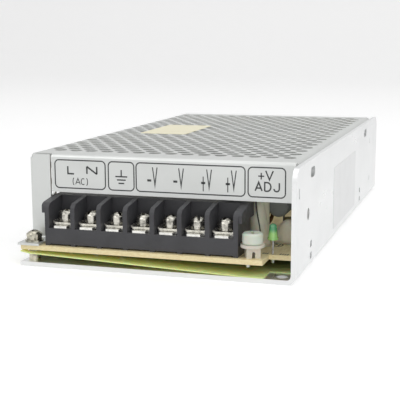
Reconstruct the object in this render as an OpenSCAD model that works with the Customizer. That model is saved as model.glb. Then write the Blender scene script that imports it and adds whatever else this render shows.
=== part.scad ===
// Mesh case switching power supply: an open-fronted terminal block on a circuit board,
// in a folded aluminium chassis under a folded perforated cover.
// Millimetres, +Z up, terminals facing -Y. The origin is the centre of the base.

/* [Case] */
// Overall width, across the terminals
case_w = 98; // [98:1:120]
// Overall depth, terminals to back
case_d = 199; // [196:1:230]
// Overall height
case_h = 38; // [37.5:0.5:44]
// Thickness of the chassis sheet
chassis_t = 1.6; // [1.4:0.1:1.8]
// Outside radius of the chassis bends
chassis_bend_r = 3; // [2.4:0.1:3.4]
// Step from the cover's top down to the top of the right wall
wall_drop = 0.6; // [0.2:0.1:1.2]
// Radius of the right wall's upper corners
wall_corner_r = 5; // [2:0.5:8]
// Height of the flange that takes the cover screws
left_flange_h = 11; // [10:0.5:14]
// Distance from each end of the chassis to that flange
left_flange_inset = 30; // [20:1:40]
// Diameter of the mounting holes
mount_hole_d = 4; // [3:0.1:5]
// Spacing of the bottom mounting holes across the case
mount_span_x = 50; // [40:1:60]
// Spacing of the bottom mounting holes along the case
mount_span_y = 150; // [117:1:155]
// Side mounting hole, distance from the front
side_hole_y = 19.5; // [17:0.5:22]
// Side mounting hole, height
side_hole_z = 19.8; // [15:0.1:22]
// Height of the long holes at the top of the right wall
wall_hole_d = 3.5; // [3:0.1:4]
// Length of those holes
wall_hole_l = 7.5; // [5:0.5:9]

/* [Cover] */
// Thickness of the cover sheet
cover_t = 0.8; // [0.6:0.1:1]
// Outside radius of the cover's bends
cover_bend_r = 1.5; // [1.2:0.1:2]
// Distance from the front of the chassis to the cover's lip
cover_front = 10.5; // [10.5:0.1:12]
// Distance from the cover's rear wall to the back of the chassis
cover_tail = 14; // [12:0.5:18]
// Height of the front lip
lip_h = 13.3; // [12.5:0.1:13.5]
// Width of the strip beside the terminals, with the foot below it
strip_w = 8.1; // [7.8:0.1:8.2]
// Gap at the cover's cut corners
relief = 0.5; // [0.3:0.1:0.8]
// Depth of the flange inside the right wall
inner_flange_h = 12; // [8:0.5:13]
// Slip between the cover and the chassis
cover_fit = 0.1; // [0.05:0.05:0.2]

/* [Perforation] */
// Diameter of the perforations
hole_d = 4.4; // [3.6:0.1:4.6]
// Spacing of the holes in a row
hole_pitch = 6; // [5.8:0.1:7]
// Spacing of the rows
row_pitch = 4.9; // [4.6:0.1:6]
// First row, behind the front of the lip
first_row = 11.5; // [8:0.5:14]
// Plain border behind the last row
last_border = 6; // [5:0.5:12]
// First whole hole of a row, from the left side
first_hole = 7; // [6.8:0.1:7.4]
// Height that the perforation of the left wall stays above
side_border = 8; // [8:0.5:16]

/* [Board] */
// Thickness of the circuit board
board_t = 1.6; // [1.2:0.1:1.8]
// Height of the standoffs between the chassis and the board
standoff_h = 4.1; // [4:0.1:4.6]
// Outside diameter of the standoffs
standoff_d = 4; // [3.8:0.1:5]
// Thickness of the insulating film
film_t = 0.35; // [0.2:0.05:0.4]
// Distance from the front of the chassis to the board
board_front = 0.6; // [0.3:0.1:1]
// Width of the board's notch, from the outside of the right wall
notch_w = 11; // [10:0.5:11]
// Depth of the board's notch
notch_d = 9.8; // [9.2:0.1:10]
// Nominal diameter of the small machine screws
screw_d = 3; // [2.5:0.1:3]

/* [Terminals] */
// Spacing of the terminals
cell_pitch = 9.6; // [9.3:0.05:9.6]
// Thickness of the barriers
barrier_t = 1.6; // [1.2:0.1:1.8]
// Left face of the block, from the left side of the case
block_x = 9.6; // [9.6:0.1:10]
// Front edge of the barriers, behind the front of the chassis
block_front = 2.2; // [1.2:0.1:2.6]
// Depth of the block
block_d = 16.3; // [15.8:0.1:16.8]
// Height of the cell floor above the board
floor_h = 6.1; // [5.6:0.1:6.4]
// Gap between the barriers and the lip above them
lip_gap = 1.3; // [0.6:0.1:1.6]
// How far a barrier's front corner lies below its back
barrier_fall = 1.2; // [0.8:0.1:2]
// Thickness of the contact plates
contact_t = 0.8; // [0.6:0.1:1]
// Width of the clamp washers
clamp_w = 7.4; // [7:0.1:7.4]
// Thickness of the clamp washers
clamp_t = 0.8; // [0.6:0.1:0.9]
// How far the wings of a clamp washer bend up
clamp_rise = 0.7; // [0.4:0.1:0.8]
// Thickness of the spring washer held under each terminal screw's head
lock_t = 0.9; // [0.7:0.1:1]
// Diameter of the terminal screws
terminal_screw_d = 3.5; // [3:0.1:3.5]
// Diameter of the terminal screw heads
terminal_head_d = 5.8; // [5.2:0.1:6]
// Height of the terminal screw heads
terminal_head_h = 3.2; // [2.6:0.1:3.3]

/* [Output] */
// Trimmer axis, right of the terminal block
trimmer_x = 4.2; // [4.1:0.1:4.6]
// Trimmer axis, behind the front of the chassis
trimmer_y = 5; // [4.8:0.1:5.4]
// Diameter of the trimmer's knob
knob_d = 6.9; // [6:0.1:7.2]
// Height of the trimmer's knob
knob_h = 3.6; // [3.2:0.1:5]
// Height of the trimmer's base
trimmer_h = 4.5; // [4:0.1:4.8]
// Diameter of the indicator at its foot
led_d = 3.4; // [3:0.1:3.6]
// Height of the indicator's body above the board
led_stand = 4.8; // [3:0.1:6]
// Headroom between the bulk capacitors and the cover
bulk_headroom = 2.9; // [2:0.1:8]
// Diameter of the bulk capacitors
bulk_cap_d = 22; // [18:0.5:22]
// Headroom between the transformer and the cover
transformer_headroom = 3.9; // [3:0.1:8]

/* [Hidden] */
$fn = 32;
e = 0.01;
cells = 7;
slip = 0.05; // radial clearance of pins and screws in their holes
seat = 0.1; // clearance between pieces that move against each other
pin_gap = 0.1; // radial clearance of leads in the board

// Heights
plate_top = chassis_t;
board_z = plate_top + standoff_h;
board_top = board_z + board_t;
cover_under = case_h - cover_t;
wall_top = case_h - wall_drop;
lead_tip = board_z - 1.1;

// Plan
inner_x = case_w - chassis_t;
flange_x = inner_x - cover_fit;
left_x = cover_t + cover_fit;
cover_back = case_d - cover_tail;
cover_d = cover_back - cover_front;
notch_x = case_w - notch_w;
board_right = flange_x - cover_t - 0.5;
board_left = left_x + chassis_t + 0.6;
board_back = cover_back - cover_t - 1.2;
foot_x = strip_w / 2;
foot_y = 4.8;
foot_corner = cover_front + cover_bend_r + 2; // where the board steps in behind the foot

// Perforation
rows = floor((cover_d - first_row - last_border - cover_bend_r) / row_pitch) + 1;
columns = floor((flange_x - cover_bend_r - first_hole - hole_d / 2 - 0.5) / hole_pitch) + 1;
bend_arc = (cover_bend_r - cover_t / 2) * PI / 2;

// Right wall
wall_hole_z = wall_top - 4.4;
wall_hole_y = [26.7, case_d - 42];
corner_hole = [case_w - 5.3, 4.2]; // a small hole in the bottom, under the board's notch
corner_hole_d = 3.8;
lance_w = 3;
lance_h = 2.2;
lance_reach = 2.2;
lance_y = [25, case_d - 57.5];
wall_slot_w = 0.8;

// Terminals
block_w = cells * cell_pitch + barrier_t;
block_back = block_front + block_d;
floor_z = board_top + floor_h;
contact_top = floor_z + contact_t;
clamp_z = contact_top + seat;
lock_z = clamp_z + clamp_t + seat;
head_z = lock_z + lock_t;
barrier_back_z = case_h - lip_h - lip_gap;
barrier_front_z = barrier_back_z - barrier_fall;
lock_d = terminal_head_d - 0.4;
lug_w = 1.2;
screw_y = block_front + 6.05;
rear_wall_y = block_front + 10.6;
contact_back = rear_wall_y - 0.3;
screw_bore_z = board_top + 1.3;

// Output side
trimmer_cx = block_x + block_w + trimmer_x;
led_x = trimmer_cx + 5.25;
led_y = notch_d + 1.9;
led_turn = 103; // direction of the line through its two leads
led_pitch = 2.2;
led_z = board_top + led_stand;
flange_d = 8;
flange_t = 1;
leg_w = 4.6; // the trimmer stands on a hollow square foot
leg_turn = 24;
knob_z = board_top + trimmer_h + seat;

// Inside
bulk_cap_h = cover_under - board_top - bulk_headroom;
bulk_x = board_left + bulk_cap_d / 2 + 3;
bulk_front = 85; // the capacitors stand in a row from here to the back
bulk_y = [bulk_front + bulk_cap_d / 2, bulk_front + bulk_cap_d * 1.5 + 2];
transformer_h = cover_under - board_top - transformer_headroom;
transformer_at = [case_w - 42, 109];
middle_standoff_y = 77;
spreader_t = 3;
spreader_y = [45, lance_y[1] - 11.5];
spreader_z = [board_top + 1.7, case_h - inner_flange_h - 1];
device_x = flange_x - spreader_t;
package = [4.6, 15.5, 15];
device_y = [62, spreader_y[1] - 18];
bridge = [20, 4.5, 16];
lying_cap = [7.6, 15.5]; // diameter and length of the capacitor that lies along the board
lying_cap_at = [case_w - 12.2, 27.8, 12.9];
standing_cap = [10, 21];
standing_cap_at = [case_w - 27, 27];
sleeved_part = [4, 17.5];
sleeved_at = [case_w - 16.7, 25.5];
glue_at = [case_w - 18.7, 22.2];
choke_at = [board_left + 13.9, 57];
output_choke_at = [case_w - 34, 48];
rod_choke_at = [case_w - 8.8, 31];
rod_choke = [3.6, 8.6, 0.9, 7]; // rod diameter and height, wire, turns

// The pieces are placed from the case's front left bottom corner.
module in_case() {
  translate([-case_w / 2, -case_d / 2, 0]) children();
}

// Extrudes an outline drawn in X and Z along Y, from y.
module along_y(y, length) {
  translate([0, y + length, 0]) rotate([90, 0, 0]) linear_extrude(length) children();
}

// Extrudes an outline drawn in Y and Z along X, from x.
module along_x(x, length) {
  translate([x, 0, 0]) rotate([90, 0, 90]) linear_extrude(length) children();
}

// Section of a 90 degree bend: a quarter of a ring in the first quadrant.
module bend(r, t) {
  intersection() {
    difference() {
      circle(r);
      circle(r - t);
    }
    square(r);
  }
}

module rounded(w, d, r) {
  translate([r, 0]) square([w - 2 * r, d]);
  translate([0, r]) square([w, d - 2 * r]);
  for (x = [r, w - r], y = [r, d - r]) translate([x, y]) circle(r);
}

// Pan head seen from the side, to be spun about Z.
module pan_head(d, h) {
  rotate_extrude($fn = 48) {
    square([d / 2, h * 0.45]);
    translate([0, h * 0.45]) intersection() {
      square([d / 2, h * 0.55]);
      translate([0, h * 0.55 - d * 0.6]) circle(d * 0.6);
      translate([d / 2 - h * 0.55, 0]) circle(h * 0.55);
    }
    translate([0, h * 0.45]) intersection() {
      square([d / 2 - h * 0.55, h * 0.55]);
      translate([0, h * 0.55 - d * 0.6]) circle(d * 0.6);
    }
  }
}

module cross_recess(w, span, depth) {
  for (a = [0, 90]) rotate(a) translate([-span / 2, -w / 2, -depth]) cube([span, w, depth + 1]);
}

// ---- Case ----

module plate_outline() {
  polygon([
    [left_x, 0], [case_w - chassis_bend_r, 0], [case_w - chassis_bend_r, case_d], [left_x, case_d],
    [left_x, case_d - left_flange_inset], [left_x + chassis_bend_r, case_d - left_flange_inset],
    [left_x + chassis_bend_r, left_flange_inset], [left_x, left_flange_inset]
  ]);
}

module mount_holes(h) {
  for (x = [-1, 1], y = [-1, 1])
    translate([case_w / 2 + x * mount_span_x / 2, case_d / 2 + y * mount_span_y / 2, -1])
      cylinder(d = mount_hole_d, h = h + 2);
}

module long_hole(length, d) {
  square([length - d, d], center = true);
  for (s = [-1, 1]) translate([s * (length - d) / 2, 0]) circle(d = d);
}

module right_wall() {
  difference() {
    along_x(inner_x, chassis_t) difference() {
      translate([0, chassis_bend_r]) square([case_d, wall_top - chassis_bend_r]);
      for (m = [0, 1]) translate([m * case_d, wall_top]) mirror([m, 0]) difference() {
        translate([-1, -wall_corner_r]) square(wall_corner_r + 1);
        translate([wall_corner_r, -wall_corner_r]) circle(wall_corner_r);
      }
      translate([side_hole_y, side_hole_z]) circle(d = mount_hole_d);
      for (y = wall_hole_y) translate([y, wall_hole_z]) long_hole(wall_hole_l, wall_hole_d);
      translate([4, wall_top - 10.2]) square([wall_slot_w, 3.4]);
      for (z = [8.4, 26.4]) translate([case_d - 25.8, z]) square([wall_slot_w, 2.4]);
    }
    for (y = lance_y, s = [0, 1]) lance(y, s, 1.1, case_w - 0.9);
  }
  for (y = lance_y, s = [0, 1]) lance(y, s, lance_reach + e, inner_x - lance_reach);
}

// One of a pair of half-sheared tabs that hold the board's right edge from above and below.
module lance(y, side, length, x) {
  z = side == 0 ? board_z - seat - lance_h : board_top + seat;
  translate([x, y - lance_w / 2, z]) cube([length, lance_w, lance_h]);
}

module chassis() color([0.9, 0.9, 0.91]) in_case() {
  difference() {
    linear_extrude(chassis_t) plate_outline();
    mount_holes(chassis_t);
    translate([corner_hole[0], corner_hole[1], -1]) cylinder(d = corner_hole_d, h = chassis_t + 2);
  }
  along_y(0, case_d) translate([case_w - chassis_bend_r, chassis_bend_r]) rotate(-90)
    bend(chassis_bend_r, chassis_t);
  right_wall();
  difference() {
    along_y(left_flange_inset, case_d - 2 * left_flange_inset) {
      translate([left_x + chassis_bend_r, chassis_bend_r]) rotate(180) bend(chassis_bend_r, chassis_t);
      translate([left_x, chassis_bend_r]) square([chassis_t, left_flange_h - chassis_bend_r]);
    }
    cover_screw_places() {
      cylinder(d = screw_d + 2 * slip, h = 6);
      countersink(seat);
    }
  }
}

// Cover screws lie on the left side, pointing inwards.
module cover_screw_places() {
  for (y = [left_flange_inset + 15, case_d - left_flange_inset - 15])
    translate([0, y, left_flange_h - 4]) rotate([0, 90, 0]) children();
}

module countersink(gap) {
  translate([0, 0, -e]) cylinder(d1 = screw_d * 1.9 + 2 * gap, d2 = screw_d, h = screw_d * 0.45 + gap);
}

module cover_screws() color([0.75, 0.75, 0.74]) in_case() {
  cover_screw_places() difference() {
    union() {
      translate([0, 0, 0.05]) cylinder(d1 = screw_d * 1.9, d2 = screw_d, h = screw_d * 0.45);
      translate([0, 0, 0.5]) cylinder(d = screw_d, h = board_left - 0.3 - 0.5);
    }
    mirror([0, 0, 1]) translate([0, 0, -0.05]) cross_recess(0.6, screw_d, 0.8);
  }
}

// Centre of a row of holes, and how far the row is shifted to the left.
function row_y(r) = cover_front + first_row + r * row_pitch;
function row_shift(r) = (r % 2) * hole_pitch / 2;
// Height on the left wall of a hole that lies u from the corner in the flat sheet.
function wall_z(u) = case_h - cover_bend_r + u - cover_bend_r + bend_arc;

module perforated_top() {
  linear_extrude(cover_t) difference() {
    translate([cover_bend_r, cover_front + cover_bend_r])
      square([flange_x - 2 * cover_bend_r, cover_d - 2 * cover_bend_r]);
    for (r = [0:rows - 1], c = [0:columns - 1])
      translate([first_hole - row_shift(r) + c * hole_pitch, row_y(r)]) circle(d = hole_d);
  }
}

module left_wall() {
  length = cover_d - 2 * cover_bend_r;
  difference() {
    union() {
      translate([0, cover_front + cover_bend_r, cover_fit])
        cube([cover_t, length, case_h - cover_bend_r - cover_fit]);
      along_y(cover_front + cover_bend_r + relief, length - relief)
        translate([cover_bend_r, case_h - cover_bend_r]) rotate(90) bend(cover_bend_r, cover_t);
    }
    for (r = [0:rows - 1]) {
      u = first_hole - row_shift(r) - hole_pitch * (r % 2 == 0 ? 2 : 1);
      if (r % 2 == 0) translate([cover_bend_r, row_y(r), case_h - cover_bend_r])
        rotate([0, -45, 0]) cylinder(d = hole_d, h = 3);
      for (z = [wall_z(u):-hole_pitch:side_border])
        translate([-1, row_y(r), z]) rotate([0, 90, 0]) cylinder(d = hole_d, h = cover_t + 2);
    }
    cover_screw_places() countersink(seat);
  }
}

module front_lip() {
  along_x(strip_w + relief, flange_x - cover_t - strip_w - relief) {
    translate([cover_front + cover_bend_r, case_h - cover_bend_r]) rotate(90)
      bend(cover_bend_r, cover_t);
    translate([cover_front, case_h - lip_h]) square([cover_t, lip_h - cover_bend_r]);
  }
}

// Strip bent from the left wall, with a foot bent forward along the board.
module strip_and_foot() {
  inside = cover_bend_r - cover_t;
  foot_top = board_top + cover_t;
  difference() {
    union() {
      translate([cover_bend_r, cover_front + cover_bend_r, foot_top + inside])
        linear_extrude(case_h - relief / 2 - foot_top - inside) rotate(180)
          bend(cover_bend_r, cover_t);
      translate([cover_bend_r, cover_front, foot_top + inside])
        cube([strip_w - cover_bend_r, cover_t, case_h - relief / 2 - foot_top - inside]);
      along_x(0, strip_w) {
        translate([cover_front - inside, foot_top + inside]) rotate(-90) bend(cover_bend_r, cover_t);
        translate([0, board_top]) square([cover_front - inside, cover_t]);
      }
    }
    translate([foot_x, foot_y, board_top - 1]) cylinder(d = screw_d + 0.4, h = 3);
    translate([-1, cover_front - 1, case_h - cover_bend_r]) cube([1 + cover_bend_r, 4, 3]);
  }
}

module rear_wall() {
  along_x(left_x, flange_x - cover_t - left_x - relief) {
    translate([cover_back - cover_bend_r, case_h - cover_bend_r]) bend(cover_bend_r, cover_t);
    translate([cover_back - cover_t, plate_top + relief])
      square([cover_t, case_h - cover_bend_r - plate_top - relief]);
  }
}

module cover() color([0.8, 0.81, 0.81]) in_case() {
  translate([0, 0, cover_under]) perforated_top();
  left_wall();
  front_lip();
  strip_and_foot();
  rear_wall();
  along_y(cover_front + cover_bend_r, cover_d - 2 * cover_bend_r) {
    translate([flange_x - cover_bend_r, case_h - cover_bend_r]) bend(cover_bend_r, cover_t);
    translate([flange_x - cover_t, case_h - inner_flange_h])
      square([cover_t, inner_flange_h - cover_bend_r]);
  }
}

// ---- Board ----

// Standoff places: under the foot, along the back and in the middle.
standoffs = [
  [foot_x, foot_y], [board_left + 5, board_back - 6],
  [board_right - 7, board_back - 6], [case_w / 2 - 8, middle_standoff_y]
];

module board_outline(inset) {
  polygon([
    [left_x, board_front - inset], [notch_x + inset, board_front - inset],
    [notch_x + inset, notch_d - 2 * inset], [board_right, notch_d - 2 * inset],
    [board_right, board_back], [board_left, board_back],
    [board_left, foot_corner], [left_x, foot_corner]
  ]);
}

// The film is clipped at the left and runs down onto the chassis plate.
module insulating_film() color([0.72, 0.8, 0.38, 0.6]) in_case() {
  run = 80;
  top = standoff_h - 0.7;
  profile = [
    [left_x, top], [4, top - 0.6], [20, top - 1.2], [run, 0], [board_right, 0]
  ];
  difference() {
    intersection() {
      along_y(0, board_back) translate([0, plate_top]) polygon(concat(
        profile,
        [for (i = [len(profile) - 1:-1:0]) profile[i] + [0, film_t]]
      ));
      linear_extrude(board_z) board_outline(0.5);
    }
    for (p = standoffs) translate([p[0], p[1], 0]) cylinder(d = standoff_d + 1, h = board_z);
  }
}

// Every lead that passes through the board, as [x, y, diameter].
contact_leads = [for (k = [0:cells - 1]) [cell_x(k), contact_back - 1, 1.4]];
led_leads_at = [for (s = [-1, 1])
  [led_x + s * led_pitch / 2 * cos(led_turn), led_y + s * led_pitch / 2 * sin(led_turn), 0.6]];
trimmer_leads = [for (a = [45, 225])
  [trimmer_cx + leg_w * 0.52 * cos(leg_turn + a), trimmer_y + leg_w * 0.52 * sin(leg_turn + a), 0.8]];
through_leads = concat(contact_leads, led_leads_at, trimmer_leads);

module circuit_board() color([0.78, 0.66, 0.42]) in_case() {
  difference() {
    translate([0, 0, board_z]) linear_extrude(board_t) board_outline(0);
    for (p = standoffs) translate([p[0], p[1], board_z - 1]) cylinder(d = screw_d + 0.2, h = board_t + 2);
    for (p = through_leads)
      translate([p[0], p[1], board_z - 1]) cylinder(d = p[2] + 2 * pin_gap, h = board_t + 2);
  }
}

module board_standoffs() color([0.72, 0.7, 0.62]) in_case() {
  for (p = standoffs) translate([p[0], p[1], plate_top]) difference() {
    cylinder(d = standoff_d, h = standoff_h);
    translate([0, 0, 0.6]) cylinder(d = screw_d + 2 * slip, h = standoff_h);
  }
}

module machine_screw(head_z, head_d, head_h, tip_z) {
  difference() {
    union() {
      translate([0, 0, head_z]) pan_head(head_d, head_h);
      translate([0, 0, tip_z]) cylinder(d = screw_d, h = head_z - tip_z);
    }
    translate([0, 0, head_z + head_h]) cross_recess(0.7, screw_d * 0.9, head_h * 0.6);
  }
}

module board_screws() color([0.75, 0.75, 0.74]) in_case() {
  for (i = [1:len(standoffs) - 1]) translate([standoffs[i][0], standoffs[i][1], 0])
    machine_screw(board_top, screw_d * 1.8, 2, plate_top + 1);
}

module solder_joints() color([0.7, 0.7, 0.7]) in_case() {
  for (p = through_leads) translate([p[0], p[1], lead_tip - 0.1]) difference() {
    cylinder(d1 = p[2] + 0.6, d2 = p[2] + 1, h = board_z - lead_tip + 0.1);
    translate([0, 0, 0.1]) cylinder(d = p[2] + 2 * pin_gap, h = 3);
  }
}

// ---- Foot screw ----

foot_washer_t = 0.5;
foot_spring_t = 1;

module foot_flat_washer() color([0.78, 0.77, 0.74]) in_case() {
  translate([foot_x, foot_y, board_top + cover_t]) difference() {
    cylinder(d = screw_d * 2.15, h = foot_washer_t);
    translate([0, 0, -1]) cylinder(d = screw_d + 0.2, h = 3);
  }
}

module foot_spring_washer() color([0.6, 0.58, 0.52]) in_case() {
  translate([foot_x, foot_y, board_top + cover_t + foot_washer_t]) difference() {
    cylinder(d = screw_d * 1.75, h = foot_spring_t);
    translate([0, 0, -1]) cylinder(d = screw_d + 0.2, h = 3);
    rotate(-60) translate([0, -0.3, -1]) cube([4, 0.6, 3]);
  }
}

module foot_screw() color([0.72, 0.7, 0.62]) in_case() {
  translate([foot_x, foot_y, 0])
    machine_screw(board_top + cover_t + foot_washer_t + foot_spring_t, screw_d * 1.85, 2.3, plate_top + 1);
}

// ---- Terminal block ----

function cell_x(k) = block_x + barrier_t / 2 + (k + 0.5) * cell_pitch;
function arc(cx, cy, r, from, to, steps) =
  [for (i = [0:steps]) let (a = from + (to - from) * i / steps) [cx + r * cos(a), cy + r * sin(a)]];

// Side view of a barrier: a rounded front corner, then a long slope up under the lip.
module barrier_side() {
  r = 2.4;
  polygon(concat(
    [[block_back, board_top], [block_back, barrier_back_z], [rear_wall_y, barrier_back_z]],
    arc(block_front + r, barrier_front_z - r, r, 100, 180, 6),
    [[block_front, board_top]]
  ));
}

module end_lug(x) {
  along_x(x, lug_w) intersection() {
    barrier_side();
    translate([block_front + 0.4, floor_z + 5.2]) square([block_d, 20]);
  }
}

module terminal_block() color([0.13, 0.13, 0.14]) in_case() {
  gutter_w = cell_pitch - barrier_t;
  difference() {
    translate([block_x, 0, 0]) {
      translate([barrier_t / 2, block_front, board_top + 0.6])
        cube([block_w - barrier_t, block_d, floor_h - 0.6]);
      translate([barrier_t / 2, rear_wall_y, floor_z - e])
        cube([block_w - barrier_t, block_back - rear_wall_y, barrier_back_z - floor_z + e]);
    }
    for (k = [0:cells - 1]) translate([cell_x(k), 0, 0]) {
      translate([0, screw_y, screw_bore_z]) cylinder(d = terminal_screw_d + 0.4, h = 12);
      translate([0, contact_back - 1, board_top]) cylinder(d = 1.4 + 2 * pin_gap, h = 12);
      translate([-gutter_w / 2, block_front + 1.4, floor_z - 2]) cube([gutter_w, 1.3, 3]);
    }
    // Hollow underside of the rear wall, as moulded
    translate([block_x + barrier_t, rear_wall_y + 1.4, board_top])
      cube([block_w - 2 * barrier_t, block_back - rear_wall_y - 2.8, floor_h + 6]);
  }
  for (k = [0:cells]) along_x(block_x + k * cell_pitch, barrier_t) barrier_side();
  end_lug(block_x - lug_w);
  end_lug(block_x + block_w);
}

module contact_plate(k) color([0.85, 0.84, 0.8]) in_case() {
  body_y = block_front + 3.2;
  translate([cell_x(k), 0, 0]) difference() {
    union() {
      translate([-clamp_w / 2, body_y, floor_z]) cube([clamp_w, contact_back - body_y, contact_t]);
      translate([-2.3, block_front + 0.3, floor_z]) cube([4.6, body_y - block_front, contact_t]);
      translate([0, contact_back - 1, lead_tip]) cylinder(d = 1.4, h = floor_z - lead_tip + e);
    }
    translate([0, screw_y, floor_z - 1]) cylinder(d = terminal_screw_d + 2 * slip, h = contact_t + 2);
  }
}

// Square washer with its two sides bent up, clear of the spring washer above it.
module clamp_washer(k) color([0.86, 0.84, 0.78]) in_case() {
  flat = lock_d / 2 + seat;
  half = clamp_w / 2;
  length = 7;
  side = [[flat, 0], [half, clamp_rise], [half, clamp_rise + clamp_t * 0.8], [flat, clamp_t]];
  translate([cell_x(k), screw_y, clamp_z]) difference() {
    along_y(-length / 2, length)
      polygon(concat(side, [for (i = [3:-1:0]) [-side[i][0], side[i][1]]]));
    translate([0, 0, -2]) cylinder(d = terminal_screw_d + 2 * slip, h = 4);
  }
}

// Combined slot and cross recess, and a split spring washer held under the head. Each screw stops at
// its own angle.
module terminal_screw(k) color([0.82, 0.8, 0.72]) in_case() {
  top = terminal_head_h;
  length = head_z - screw_bore_z - 0.7;
  translate([cell_x(k), screw_y, head_z]) rotate(25 + 53 * k) difference() {
    union() {
      pan_head(terminal_head_d, terminal_head_h);
      translate([0, 0, -length]) cylinder(d = terminal_screw_d, h = length + e);
      translate([0, 0, -lock_t]) cylinder(d = lock_d, h = lock_t + e);
    }
    translate([terminal_screw_d / 2, -0.25, -lock_t - 1]) cube([lock_d, 0.5, lock_t + 1]);
    translate([0, 0, top]) cross_recess(1, 3.6, 1.8);
    translate([-terminal_head_d, -0.45, top - 1.1]) cube([2 * terminal_head_d, 0.9, 2]);
  }
}

// ---- Trimmer and indicator ----

module trimmer_base() color([0.9, 0.88, 0.78]) in_case() {
  leg_h = trimmer_h - flange_t;
  wall = 1;
  translate([trimmer_cx, trimmer_y, board_top]) difference() {
    union() {
      translate([0, 0, leg_h]) cylinder(d = flange_d, h = flange_t);
      rotate(leg_turn) difference() {
        translate([-leg_w / 2, -leg_w / 2, 0]) cube([leg_w, leg_w, leg_h + e]);
        translate([wall - leg_w / 2, wall - leg_w / 2, -1])
          cube([leg_w - 2 * wall, leg_w - 2 * wall, leg_h + 1 - e]);
        for (a = [0, 90]) rotate(a) {
          translate([-0.5, -leg_w, -1]) cube([1, 2 * leg_w, 2.7]);
          translate([0, leg_w, 1.7]) rotate([90, 0, 0]) cylinder(d = 1, h = 2 * leg_w);
        }
      }
    }
    translate([0, 0, leg_h - 1]) cylinder(d = 3 + 2 * slip, h = 4);
  }
  for (p = trimmer_leads) translate([p[0], p[1], lead_tip])
    cylinder(d = p[2], h = board_top + leg_h - lead_tip + e);
}

module trimmer_knob() color([0.83, 0.88, 0.83]) in_case() {
  r = knob_d / 2;
  translate([trimmer_cx, trimmer_y, knob_z]) difference() {
    union() {
      rotate_extrude($fn = 48)
        polygon([[0, 0], [r - 0.2, 0], [r, 0.3], [r, knob_h - 0.5], [r - 0.5, knob_h], [0, knob_h]]);
      translate([0, 0, -flange_t - seat]) cylinder(d = 3, h = flange_t + seat + e);
    }
    translate([0, 0, knob_h]) rotate(20) cross_recess(1, 4.6, 1.5);
  }
}

// Tapered body under a low dome.
module led_lens() color([0.2, 0.62, 0.3]) in_case() {
  body_h = 4.6;
  tip_r = led_d * 0.35;
  dome_h = 0.8;
  dome_r = (tip_r * tip_r + dome_h * dome_h) / (2 * dome_h);
  translate([led_x, led_y, led_z]) {
    cylinder(d = led_d + 0.2, h = 0.8);
    cylinder(r1 = led_d / 2, r2 = tip_r, h = body_h);
    translate([0, 0, body_h - e]) intersection() {
      translate([0, 0, dome_h - dome_r]) sphere(dome_r, $fn = 32);
      translate([-dome_r, -dome_r, 0]) cube(2 * dome_r);
    }
  }
}

module led_leads() color([0.75, 0.75, 0.73]) in_case() {
  for (p = led_leads_at) translate([p[0], p[1], lead_tip]) cylinder(d = p[2], h = led_z - lead_tip);
}

// ---- Stickers ----

sticker_t = 0.1;

module top_sticker() color([0.94, 0.9, 0.68]) in_case() {
  translate([13.5, 84, case_h]) linear_extrude(sticker_t) rounded(20, 38, 1);
}

module side_sticker() color([0.92, 0.92, 0.91]) in_case() {
  along_x(case_w, sticker_t) translate([70, 4.4]) rounded(56, 24, 1);
}

// ---- Components inside ----

// A standing capacitor with a rolled groove above its seal.
module can(d, h) {
  r = d / 2;
  rotate_extrude($fn = 48) polygon([
    [0, 0], [r - 0.3, 0], [r, 0.3], [r, 2], [r - 0.5, 2.6], [r, 3.2],
    [r, h - 0.6], [r - 0.6, h], [0, h]
  ]);
}

module on_board(x, y) {
  translate([x, y, board_top]) children();
}

module input_fuse() color([0.8, 0.82, 0.82]) in_case() {
  length = 20;
  on_board(9, 24) {
    for (x = [0, length - 6]) translate([x, -3, 0]) difference() {
      cube([6, 6, 7.5]);
      translate([-1, 1, 1]) cube([8, 4, 9]);
    }
    for (x = [0, length - 6]) translate([x, 0, 4]) rotate([0, 90, 0]) cylinder(d = 5.2, h = 6);
    translate([5.5, 0, 4]) rotate([0, 90, 0]) cylinder(d = 4.6, h = length - 11);
  }
}

module thermistor() color([0.2, 0.25, 0.2]) in_case() {
  on_board(36, 24) {
    translate([0, 2, 8.5]) rotate([90, 0, 0]) cylinder(d = 12, h = 4);
    for (s = [-1, 1]) translate([s * 3.2, 0, 0]) cylinder(d = 0.9, h = 6);
  }
}

module x_capacitor() color([0.75, 0.7, 0.2]) in_case() {
  on_board(22, 30) linear_extrude(15) rounded(18, 8.5, 0.6);
}

module y_capacitors() color([0.2, 0.4, 0.7]) in_case() {
  for (y = [23.5, 30]) on_board(48, y) {
    translate([0, 1.6, 7]) rotate([90, 0, 0]) cylinder(d = 8, h = 3.2);
    for (s = [-1, 1]) translate([s * 2.4, 0, 0]) cylinder(d = 0.7, h = 6);
  }
}

// A wound ring lying on the board: outside and bore diameters, height, wire, turns a side, spread.
choke = [20, 10, 8, 0.9, 8, 110];
output_choke = [24, 13, 9, 1.3, 7, 120];

// Radius of a turn of wire round the ring's section, and how high that lifts the ring.
function turn_r(ring) = norm([(ring[0] - ring[1]) / 4, ring[2] / 2]) + ring[3] / 2 + slip;
function ring_lift(ring) = turn_r(ring) + ring[3] / 2 + seat - ring[2] / 2;

module ring_core(ring) {
  translate([0, 0, ring_lift(ring)]) rotate_extrude($fn = 64) translate([ring[1] / 2, 0])
    rounded((ring[0] - ring[1]) / 2, ring[2], 1);
}

module ring_winding(ring) {
  mid = (ring[0] + ring[1]) / 4;
  for (side = [0, 180], i = [0:ring[4] - 1])
    rotate(side + ring[5] * (i / (ring[4] - 1) - 0.5)) translate([mid, 0, ring_lift(ring) + ring[2] / 2])
      rotate([90, 0, 0]) rotate_extrude() translate([turn_r(ring), 0]) circle(d = ring[3], $fn = 16);
}

module choke_core() color([0.25, 0.28, 0.25]) in_case() {
  on_board(choke_at[0], choke_at[1]) ring_core(choke);
}

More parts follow.
